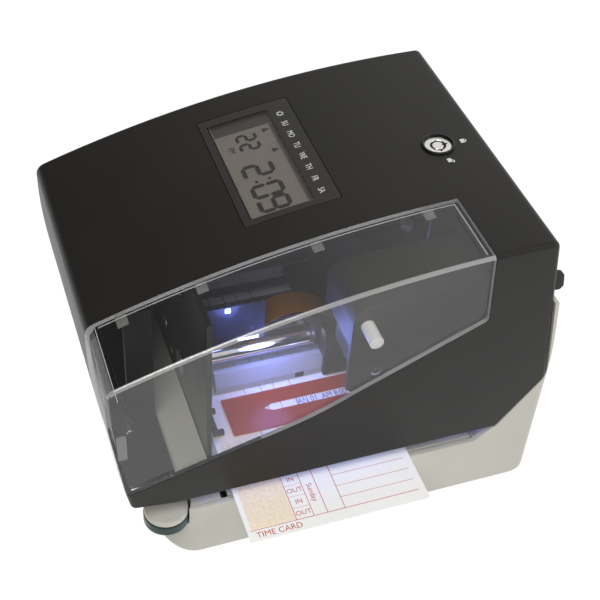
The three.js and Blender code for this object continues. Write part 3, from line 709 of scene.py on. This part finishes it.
def make_window_details():
    # The rim line is a thin strip of the lighter, more opaque edge material along the window's back and
    # right sides: a painted highlight line.
    rim = [
        strip_under_top(-2, 153.6, 35.7, 36.1, 0.2, -0.06),
        strip_under_top(153.2, 153.6, 3, 36.1, 0.2, -0.06, 2),
    ]
    finished(smooth(merge("window_rim_line", rim)), "cover", "clear_plastic", CLEAR_EDGE_HIGHLIGHT)
    clips = [strip_under_top(x - 2.3, x + 2.3, 33, 38.8, 2.6, 2.05, 4) for x in (8, 42, 92, 142)]
    clips.append(soften(box("side_clip", -3.6, 0.4, 2.3, 3.2, 75.5, 90.5), 0.3, 2))
    finished(smooth(merge("window_clips", clips)), "cover", "clear_plastic", CLEAR_CLIP)


make_window_details()


# ---------- base ----------
def base_section():
    bottom_left, bottom_right = 20.0, 9.0
    left = arc(BASE_LEFT + bottom_left, bottom_left, bottom_left, 180, 270, 16)
    right = arc(BASE_RIGHT - bottom_right, bottom_right, bottom_right, -90, 0, 12)
    return left + right + [(BASE_RIGHT, LEDGE), (BASE_LEFT, LEDGE)]


def base_plan():
    front, rear = 20.0, 4.5
    points = arc(BASE_LEFT + front, front, front, 180, 270, 20)
    points += arc(BASE_RIGHT - rear, rear, rear, -90, 0, 10)
    points += arc(BASE_RIGHT - rear, DEPTH - rear, rear, 0, 90, 10)
    points += arc(BASE_LEFT + rear, DEPTH - rear, rear, 90, 180, 10)
    return points


def rear_wall():
    lean = (COVER_RIGHT_LOW[0] - COVER_RIGHT_TOP[0]) / (COVER_RIGHT_TOP[1] - COVER_RIGHT_LOW[1])
    inner_low = COVER_RIGHT_LOW[0] + 0.5
    inner_top = inner_low - lean * (BASE_TOP - COVER_RIGHT_LOW[1])
    outline = [
        (BASE_RIGHT - BASE_WALL, LEDGE - 2), (BASE_RIGHT, LEDGE - 2), (BASE_RIGHT, COVER_RIGHT_LOW[1] - 5),
        (BASE_RIGHT - 0.3, COVER_RIGHT_LOW[1]), (inner_top + 1.8, BASE_TOP), (inner_top, BASE_TOP),
        (inner_low, COVER_RIGHT_LOW[1]), (BASE_RIGHT - BASE_WALL, LEDGE + 6),
    ]
    return prism("rear_wall", outline, "y", 0, DEPTH)


def cheek(sill_left, sill_top, y0, y1):
    outline = [
        (sill_left, LEDGE - 2), (BASE_RIGHT, LEDGE - 2), (BASE_RIGHT, 70.3), (197.6, 70.3),
        (176.4, 40.1), (175, 39.9),
        (166.4 + sill_top - LEDGE, sill_top), (sill_left, sill_top),
    ]
    return prism("cheek", outline, "y", y0, y1)


def make_base():
    tray = prism("base_shell", base_section(), "y", 0, DEPTH)
    front_cheek = cheek(160, LEDGE, 0, BASE_WALL)
    back_cheek = cheek(20.4, COVER_LOW - 0.4, DEPTH - BASE_WALL, DEPTH)
    combine(tray, [rear_wall(), front_cheek, back_cheek], "UNION")
    combine(tray, [prism("plan", base_plan(), "z", -1, BASE_TOP + 2)], "INTERSECT")
    cuts = [
        box("well", BLOCK_RIGHT, BASE_RIGHT - BASE_WALL, BASE_WALL, DEPTH - BASE_WALL, BASE_WALL, LEDGE + 1),
        prism("cap_pocket", circle(*CAP_AT, 11.1), "z", 22, LEDGE + 1),
        box("groove", 20, 166, 1.5, 2.0, LEDGE - 0.5, LEDGE + 1),
        box("under", BASE_LEFT + 8, BLOCK_RIGHT - BASE_WALL, 16, DEPTH - BASE_WALL - 6, -1, 13),
        prism("inlet", circle(126, 14, 4.5, 40), "x", BASE_RIGHT - 5, BASE_RIGHT + 5),
    ]
    for i in range(1, 5):
        low, high = span(f"foot_{i}")
        centre = ((low.x + high.x) / 2, (low.y + high.y) / 2)
        cuts.append(prism("pocket", circle(*centre, (high.x - low.x) / 2 + 0.3), "z", -1, 1.0))
    combine(tray, cuts)
    soften(tray, 0.5, 3, 40)
    finished(smooth(tray), "base", "grey_shell", GREY_SHELL, "base_tray")


make_base()


def make_corner():
    cap = lathe("corner_cap_round", [
        (0, 27.9), (9.7, 27.9), (10.1, 28.3), (10.1, 29.8), (9.8, 30.5), (8.9, 30.9), (0, 31.0),
    ])
    place = plane_frame((*CAP_AT, 0))
    finished(smooth(set_frame(cap, place)), "base", "grey_shell", GREY_SHELL, "corner_cap")
    lens = lathe("corner_lens_round", [
        (0, 22.3), (9.9, 22.3), (10.4, 22.8), (10.4, 27.3), (10.2, 27.6), (0, 27.6),
    ])
    finished(smooth(set_frame(lens, place)), "base", "teal_lens", TEAL, "corner_lens")


make_corner()


# ---------- display ----------
def segment(a, b, width):
    """One bar of a figure, with pointed ends, from a to b."""
    start, end = Vector(a), Vector(b)
    along = (end - start).normalized()
    side = Vector((-along.y, along.x)) * width / 2
    gap = along * width * 0.05
    tip = along * width / 2
    points = [start + gap, start + gap + tip + side, end - gap - tip + side, end - gap,
              end - gap - tip - side, start + gap + tip - side]
    return [tuple(p) for p in points]


SEGMENTS = {"a": ((0, 2), (1, 2)), "b": ((1, 2), (1, 1)), "c": ((1, 1), (1, 0)), "d": ((1, 0), (0, 0)),
            "e": ((0, 0), (0, 1)), "f": ((0, 1), (0, 2)), "g": ((0, 1), (1, 1))}
FIGURES = {"0": "abcdef", "2": "abged", "9": "abcdfg"}


def figure(digit, left, low, wide, high, bar, matrix):
    pieces = []
    for name in FIGURES[digit]:
        ends = [(left + u * wide, low + v * high / 2) for u, v in SEGMENTS[name]]
        pieces.append(plate("bar", segment(*ends, bar), 0.0, 0.05, matrix))
    return pieces


def make_display():
    x0, x1, y0, y1 = LCD_BOX
    centre_x = (DISPLAY_BOX[0] + DISPLAY_BOX[1]) / 2
    under = -LCD_BELOW

    def face(x, y, rise):
        frame_at = top_frame(centre_x, 0, under + rise)
        return frame_at @ Matrix.Translation(((x - centre_x) / 1000, y / 1000, 0))

    glass = plate("lcd_panel", rectangle(x0, x1, y0, y1, 0.4), -2.4, 0, top_frame(centre_x, 0, under)
                  @ Matrix.Translation((-centre_x / 1000, 0, 0)))
    finished(smooth(soften(glass, 0.15, 2)), "cover", "lcd", LCD_GREY, "lcd_glass")

    # Figures are read from the low side: their up is +X and they run towards -Y.
    reading = -90.0
    dark = []
    turn = Matrix.Rotation(math.radians(reading), 4, "Z")
    for digit, y in (("2", 96.2), ("0", 82.0), ("9", 72.5)):
        dark += figure(digit, 0, 0, 7.4, 12.9, 2.1, face(77.1, y, 0.02) @ turn)
    for digit, y in (("2", 118.4), ("2", 111.8)):
        dark += figure(digit, 0, 0, 4.4, 8.6, 1.6, face(80.9, y, 0.02) @ turn)
    for dx in (80.6, 86.6):
        dark.append(plate("dot", rectangle(-0.7, 0.7, -0.7, 0.7), 0, 0.05, face(dx, 85.1, 0.02)))
    for y in (118.0, 102.5):
        dark.append(plate("mark", [(-1.7, -1.6), (1.7, 0), (-1.7, 1.6)], 0, 0.05, face(95.4, y, 0.02)))
    dark.append(lettering("half", "PM", 4.8, 0, 0.05, face(76.4, 110.4, 0.02) @ turn @ NARROW))
    finished(merge("lcd_figures", dark), "cover", "black_part", LCD_DARK)

    strip_front = 121.9
    edge = [
        plate("band", rectangle(x0 + 0.4, x1 - 0.4, strip_front, y1 - 0.4), 0, 0.02, face(0, 0, 0.01)),
        plate("band", rectangle(x1 - 2.3, x1 - 0.4, y0 + 0.4, strip_front - 0.4), 0, 0.02, face(0, 0, 0.01)),
        plate("band", rectangle(x1 - 2.9, x1 - 2.5, y0 + 0.4, strip_front - 0.4), 0, 0.02, face(0, 0, 0.01)),
    ]
    finished(merge("lcd_bands", edge), "cover", "lcd", LCD_BAND)

    white = []
    rows = (116.1, 107.6, 99.1, 90.9, 82.7, 74.2, 65.7)
    for day, y in zip(("SU", "MO", "TU", "WE", "TH", "FR", "SA"), rows):
        white.append(lettering("day", day, 4.2, 0, 0.04, top_frame(104.2, y, 0.0, reading) @ NARROW))
    white.append(ring_plate("sun", 1.15, 0.4, 0, 0.04, top_frame(104.4, 123.9, 0.0)))
    for k in range(8):
        ray = top_frame(104.4, 123.9, 0.0, 45 * k) @ Matrix.Translation((0.00165, 0, 0))
        white.append(plate("ray", rectangle(-0.25, 0.25, -0.15, 0.15), 0, 0.04, ray))
    finished(merge("day_names", white), "cover", "nylon", WHITE_INK)


make_display()


# ---------- lock ----------
def padlock(x, y, open_shackle):
    """A small closed or open padlock symbol."""
    base = top_frame(x, y, 0.0, -90)
    body = plate("body", rectangle(-1.3, 1.3, -1.4, 0.6, 0.2), 0, 0.04, base)
    side = 1.0 if open_shackle else 0.0
    outer = arc(side, 0.6, 1.05, 0, 180, 12)
    inner = arc(side, 0.6, 0.6, 180, 0, 12)
    return [body, plate("shackle", outer + inner, 0, 0.04, base)]


def make_lock():
    here = top_frame(*LOCK_AT)
    bezel = lathe("lock_bezel", [
        (6.25, -17.9), (6.4, -17.9), (6.4, 0.15), (7.7, 0.15), (7.8, 0.3), (7.75, 0.55),
        (7.4, 0.8), (6.9, 0.9), (6.6, 0.8), (6.35, 0.4), (6.25, -0.2),
    ])
    finished(smooth(set_frame(bezel, here)), "cover", "black_part", LOCK_BLACK, "lock_body")
    notch_at_x = rectangle(3.0, 4.5, -0.5, 0.5)
    notch_at_y = rectangle(-0.5, 0.5, -4.5, -3.0)
    collar = lathe("lock_collar", [
        (3.6, -1.6), (6.2, -1.6), (6.2, -0.5), (6.0, -0.3), (3.75, -0.3), (3.6, -0.45),
    ])
    set_frame(collar, here)
    combine(collar, [plate("notch", notch_at_x, -3, 2, here), plate("notch", notch_at_y, -3, 2, here)])
    finished(smooth(collar), "cover", "chrome_steel", LOCK_STEEL)
    groove = lathe("lock_groove", [(2.7, -1.55), (4.6, -1.55), (4.6, -1.45), (2.7, -1.45)])
    finished(smooth(set_frame(groove, here)), "cover", "black_part", LOCK_BLACK)
    plug = lathe("lock_plug_face", [
        (0, -18.2), (4.8, -18.2), (4.8, -1.9), (2.65, -1.9), (2.65, -0.55), (2.5, -0.4), (0, -0.4),
    ])
    set_frame(plug, here)
    combine(plug, [plate("notch", rectangle(1.8, 3.4, -0.4, 0.4), -1.5, 2, here)])
    finished(smooth(plug), "lock_plug", "chrome_steel", LOCK_STEEL, "lock_cylinder")
    symbols = padlock(175.3, 75.4, False) + padlock(164.1, 64.1, True)
    finished(merge("lock_symbols", symbols), "cover", "nylon", WHITE_INK)


make_lock()


# ---------- time card ----------
def make_card():
    low, high = span("time_card")
    card = prism("card_sheet", rectangle(low.x, high.x, low.y, high.y, 1.2), "z", low.z, high.z)
    finished(smooth(card), "card", "card_paper", PAPER, "time_card")
    top = high.z

    def mark(name, x0, x1, y0, y1):
        return prism(name, [(x0, y0), (x1, y0), (x1, y1), (x0, y1)], "z", top, top + 0.03)

    bottom = low.y + 5.6
    line = 0.3
    columns = [23.1, 31.3, 37.8, 46.2]
    cell = 6.35
    rows = 24
    lines = [mark("rule", low.x + 1.5, high.x - 3.2, bottom, bottom + line)]
    for c in columns:
        lines.append(mark("rule", low.x + c, low.x + c + line, bottom, high.y - 8))
    for i in range(1, rows):
        y = bottom + cell * i
        lines.append(mark("rule", low.x + columns[3], high.x - 3.2, y, y + line * 0.7))
        lines.append(mark("rule", low.x + columns[0], low.x + columns[1], y, y + line * 0.45))
    words = []
    for i in range(8):
        y = bottom + cell * (i + 0.5)
        word = ("OUT", "IN")[i % 2]
        words.append(lettering("word", word, 3.5, 0, 0.03, plane_frame((low.x + 27.4, y, top))))
    for i, day in enumerate(("Sunday", "Monday")):
        place = (low.x + 34.6, bottom + cell * (2 + 4 * i), top)
        words.append(lettering("word", day, 3.7, 0, 0.03, plane_frame(place, -90)))
    title_place = plane_frame((low.x + 3.5, low.y + 2.8, top))
    words.append(lettering("word", "TIME CARD", 4.2, 0, 0.03, title_place, "LEFT"))
    finished(merge("card_lines", lines + words), "card", "card_paper", CARD_INK)
    cream = mark("card_panel", low.x + 2.2, low.x + columns[0] - 0.2, bottom + 0.6, high.y - 8)
    finished(cream, "card", "card_paper", CREAM_INK)


make_card()


# ---------- card path inside ----------
def make_guide():
    low, high = span("red_card_guide")
    film = prism("guide_film", rectangle(low.x, high.x, low.y, high.y, 0.8), "z", low.z, high.z)
    arrow = rounded([(75.5, 46.4), (80, 48.7), (126, 48.7), (126, 44), (80, 44)], [0, 0.8, 0.8, 0.8, 0.8])
    combine(film, [prism("arrow", arrow, "z", low.z - 1, high.z + 1)])
    finished(smooth(film), "base", "red_film", RED_FILM, "red_card_guide")
    card_top = span("time_card")[1].z
    place = plane_frame((92.2, 46.3, card_top + 0.01)) @ NARROW
    stamp = lettering("stamp", "JAN 01  AM 8:00", 5.2, 0, 0.03, place, "LEFT")
    finished(stamp, "card", "card_paper", STAMP_INK)


make_guide()


def make_mask():
    low, high = span("ribbon_mask")
    outline = rounded(
        [(61, 34.4), (66, 34.4), (71, 40), (69.5, 42), (67.5, 45), (65, 45), (61, 38)],
        [0.4, 0.4, 0.6, 0.6, 0.8, 0.8, 1.2],
    )
    bar = prism("mask_bar", outline, "x", low.x, high.x)
    finished(smooth(soften(bar, 0.25, 2, 40)), "base", "nylon", FROSTED, "ribbon_mask")
    notch = soften(box("mask_sensor", 96.5, 101, 60.75, 61.05, 35, 38), 0.1, 2)
    finished(smooth(notch), "base", "black_part", BLACK_PART)


make_mask()


SCREW_AT = (120.4, 73.2)
TOE_BOX = (3.2, 24.6, 18.4, 21.8, 33.1, 35.9)


def make_small_parts():
    """The raised end of the card sill, the hinge strip's front end and the screw on the ribbon housing."""
    end = rounded(
        [(166.3, 31.2), (170.5, 31.2), (177.5, 39.6), (175.5, 39.6), (169.6, 33.1), (166.3, 33.1)], [0] * 6,
    )
    finished(prism("sill_end", end, "y", 2.8, 26), "base", "grey_shell", GREY_SHELL)
    toe = soften(box("hinge_strip_toe", *TOE_BOX), 0.3, 2)
    finished(smooth(toe), "base", "black_part", BLACK_PART)
    head = [(0, -0.4), (2.4, -0.4), (2.4, 0.3), (2.0, 0.8), (1.2, 1.1), (0, 1.2)]
    screw = lathe("housing_screw", head, 32)
    front = span("ribbon_cassette")[0].y
    facing_front = Matrix.Rotation(math.radians(90), 4, "X")
    place = Matrix.Translation(at(SCREW_AT[0], front, SCREW_AT[1])) @ facing_front
    finished(smooth(set_frame(screw, place)), "base", "chrome_steel", CHROME)


make_small_parts()


# ---------- finishes of the CAD pieces that stay ----------
STAYING = {
    RUBBER: ["foot_1", "foot_2", "foot_3", "foot_4", "feed_roller_left", "feed_roller_right",
             "carriage_belt", "ribbon_roller"],
    BLACK_PART: ["hinge_bracket", "chassis_left", "film_clip", "print_head", "drive_pulley", "idler_pulley",
                 "backup_battery", "buzzer", "power_inlet"],
    GREY_PART: ["carriage_block", "ribbon_cassette", "setting_panel"],
    LAMP_BLACK: ["lamp_board", "lcd_board"],
    NYLON: ["pinch_roller_left", "pinch_roller_right", "feed_gear", "ribbon_knob", "set_button_1",
            "set_button_2", "set_button_3", "set_button_4"],
    BOARD: ["main_board"],
    CHROME: ["hinge_rod", "carriage_shaft", "rear_rail", "feed_shaft", "pinch_shaft"],
    ZINC: ["lock_nut", "lock_cam", "chassis_right", "feed_pinion", "feed_motor", "carriage_motor",
           "idler_bracket", "lock_keeper"],
    GREY_SHELL: ["card_platen"],
    AMBER: ["flex_cable"],
}


def refine(obj, width=0.35):
    """Rounds the edges of a CAD piece for the eye, by modifiers only."""
    weld = obj.modifiers.new("weld", "WELD")
    weld.merge_threshold = 1e-6
    flat = obj.modifiers.new("flat", "DECIMATE")
    flat.decimate_type = "DISSOLVE"
    flat.angle_limit = math.radians(0.5)
    soften(obj, width, 2, 35, apply=False)
    normals = obj.modifiers.new("normals", "WEIGHTED_NORMAL")
    normals.keep_sharp = True


for material, names in STAYING.items():
    for name in names:
        node = NODES[name]
        node.data.materials.clear()
        node.data.materials.append(material)
        for polygon in node.data.polygons:
            polygon.use_smooth = True
        refine(node)


# ---------- lamps inside ----------
def make_lamps():
    low = span("lamp_board")[0]
    lamp = soften(box("lamp_chip", 59.5, 62, low.y - 0.9, low.y - 0.1, 91, 93.2), 0.2, 2)
    strip = soften(box("lamp_strip", 66, 76, low.y - 0.7, low.y - 0.1, 71, 72.2), 0.2, 2)
    finished(merge("lamps", [lamp, strip]), "base", "nylon", BLUE_GLOW)


make_lamps()


def lamp_light(name, place, power, size=0.01, color=(0.21, 0.27, 1.0)):
    data = bpy.data.lights.new(name, "POINT")
    data.energy = power
    data.color = color
    data.shadow_soft_size = size
    light = bpy.data.objects.new(name, data)
    light.location = at(*place)
    bpy.context.scene.collection.objects.link(light)


lamp_light("lamp_top", (62, 57, 90), 0.05)
lamp_light("lamp_low", (84, 57, 62), 0.05)
lamp_light("lamp_card", (112, 18, 38.5), 0.002, 0.002)
lamp_light("lamp_sill", (160, 14, 38), 0.002, 0.002)


# ---------- camera ----------
CAMERA_TARGET = (101.3, 73.8, 75.0)
CAMERA_DISTANCE = 0.5814
CAMERA_ANGLES = (-21.97, 44.09, 4.29)
CAMERA_LENS = 72.66
CAMERA_SENSOR = 36.0


def make_camera():
    target = at(*CAMERA_TARGET)
    azimuth, elevation, roll = map(math.radians, CAMERA_ANGLES)
    forward = Vector((-math.sin(azimuth) * math.cos(elevation), math.cos(azimuth) * math.cos(elevation),
                      -math.sin(elevation)))
    level = forward.cross(Vector((0, 0, 1))).normalized()
    upright = level.cross(forward)
    right = level * math.cos(roll) + upright * math.sin(roll)
    up = upright * math.cos(roll) - level * math.sin(roll)
    data = bpy.data.cameras.new("camera")
    data.lens = CAMERA_LENS
    data.sensor_width = CAMERA_SENSOR
    data.clip_start = 0.01
    camera = bpy.data.objects.new("camera", data)
    turn = Matrix((right, up, -forward)).transposed().to_4x4()
    camera.matrix_world = Matrix.Translation(target - forward * CAMERA_DISTANCE) @ turn
    bpy.context.scene.collection.objects.link(camera)
    bpy.context.scene.camera = camera


make_camera()


# ---------- stage and light ----------
FLOOR_HALF = 6


def make_stage():
    floor_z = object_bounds()[0].z - 0.0005
    corners = [(-FLOOR_HALF, -FLOOR_HALF), (FLOOR_HALF, -FLOOR_HALF),
               (FLOOR_HALF, FLOOR_HALF), (-FLOOR_HALF, FLOOR_HALF)]
    floor = mesh_object("floor", [(x, y, floor_z) for x, y in corners], [[0, 1, 2, 3]])
    material, tree, shader = new_material("stage_white")
    coords = add_bump(tree, shader, 60.0, 0.02)
    vary(tree, shader, coords, "Base Color", (0.02, 0.02, 0.02), (0.03, 0.03, 0.03), 2.0)
    shader.inputs["Roughness"].default_value = 0.9
    shader.inputs["Emission Color"].default_value = (1, 1, 1, 1)
    shader.inputs["Emission Strength"].default_value = 1.0
    floor.data.materials.append(material)
    world = bpy.data.worlds.new("studio")
    bpy.context.scene.world = world
    world.use_nodes = True
    tree = world.node_tree
    background = tree.nodes["Background"]
    background.inputs["Color"].default_value = (1.0, 0.995, 0.985, 1)
    coords = tree.nodes.new("ShaderNodeTexCoord")
    split = tree.nodes.new("ShaderNodeSeparateXYZ")
    ramp = tree.nodes.new("ShaderNodeMapRange")
    ramp.inputs["From Min"].default_value = -0.3
    ramp.inputs["From Max"].default_value = 0.4
    ramp.inputs["To Min"].default_value = 0.15
    ramp.inputs["To Max"].default_value = 0.95
    tree.links.new(coords.outputs["Generated"], split.inputs["Vector"])
    tree.links.new(split.outputs["X"], ramp.inputs["Value"])
    tree.links.new(ramp.outputs["Result"], background.inputs["Strength"])
    bpy.context.scene.view_settings.view_transform = "Standard"


def area_light(name, place, aim, size, power):
    data = bpy.data.lights.new(name, "AREA")
    data.shape = "RECTANGLE"
    data.size, data.size_y = size
    data.energy = power
    light = bpy.data.objects.new(name, data)
    light.location = place
    light.rotation_euler = (Vector(aim) - Vector(place)).to_track_quat("-Z", "Y").to_euler()
    bpy.context.scene.collection.objects.link(light)


make_stage()
area_light("key", (-0.5, -0.7, 1.4), (0, 0, 0.06), (0.8, 0.8), 16.0)
area_light("fill", (1.2, -0.9, 0.9), (0, 0, 0.06), (0.8, 0.8), 3.0)
